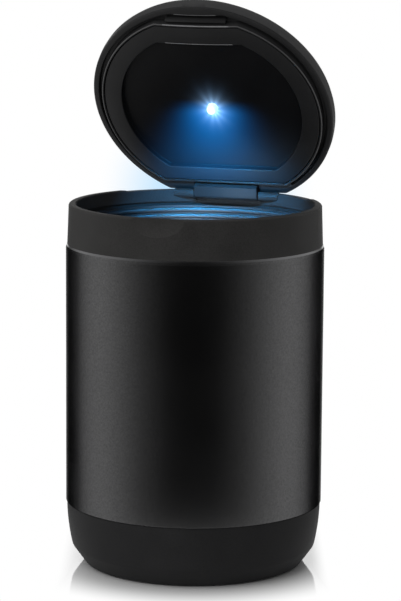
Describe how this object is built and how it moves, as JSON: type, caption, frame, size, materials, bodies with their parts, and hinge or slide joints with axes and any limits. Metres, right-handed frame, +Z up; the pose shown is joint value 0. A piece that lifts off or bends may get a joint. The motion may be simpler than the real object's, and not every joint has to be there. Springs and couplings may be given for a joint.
{
  "type": "car ashtray",
  "caption": "Cylindrical cup-holder ashtray with a satin black sleeve, a steel ash liner and a hinged domed lid that carries a lamp.",
  "frame": {"origin": "middle of the foot, on the surface the ashtray stands on", "axes": "+Z up the body's axis, -Y towards the thumb scoop, +Y towards the hinge, +X to the right"},
  "size_m": [0.074, 0.0751, 0.1625],
  "materials": {
    "foot_pad": "matt non-slip pad",
    "base_cup": "matt black with a soft, rubbery look",
    "body_sleeve": "fine satin black anodising with a bright cut bevel at the top edge",
    "ash_liner": "drawn steel, satin",
    "collar": "fine-grained matt black",
    "hinge_pin": "plain steel",
    "lid_shell": "fine-grained matt black",
    "lid_plate": "fine-grained matt black with a smoother recess",
    "led": "clear lens, lit white-blue",
    "led_board": "green circuit board",
    "coin_cell": "plain steel can",
    "cell_clip": "spring steel",
    "tilt_switch": "plated can",
    "board_screws": "zinc-plated steel"
  },
  "bodies": {
    "body": {"foot_pad": "foot_pad", "base_cup": "base_cup", "body_sleeve": "body_sleeve", "ash_liner": "ash_liner", "collar": "collar", "hinge_pin": "hinge_pin"},
    "lid": {"lid_shell": "lid_shell", "lid_plate": "lid_plate", "led": "led", "led_board": "led_board", "coin_cell": "coin_cell", "cell_clip": "cell_clip", "tilt_switch": "tilt_switch", "board_screws": "board_screws"}
  },
  "joints": [
    {"name": "lid_hinge", "type": "hinge", "parent": "body", "child": "lid", "pos_m": [0, 0.031, 0.10325], "axis": [-1, 0, 0], "range_deg": [-57.5, 2.5]}
  ]
}
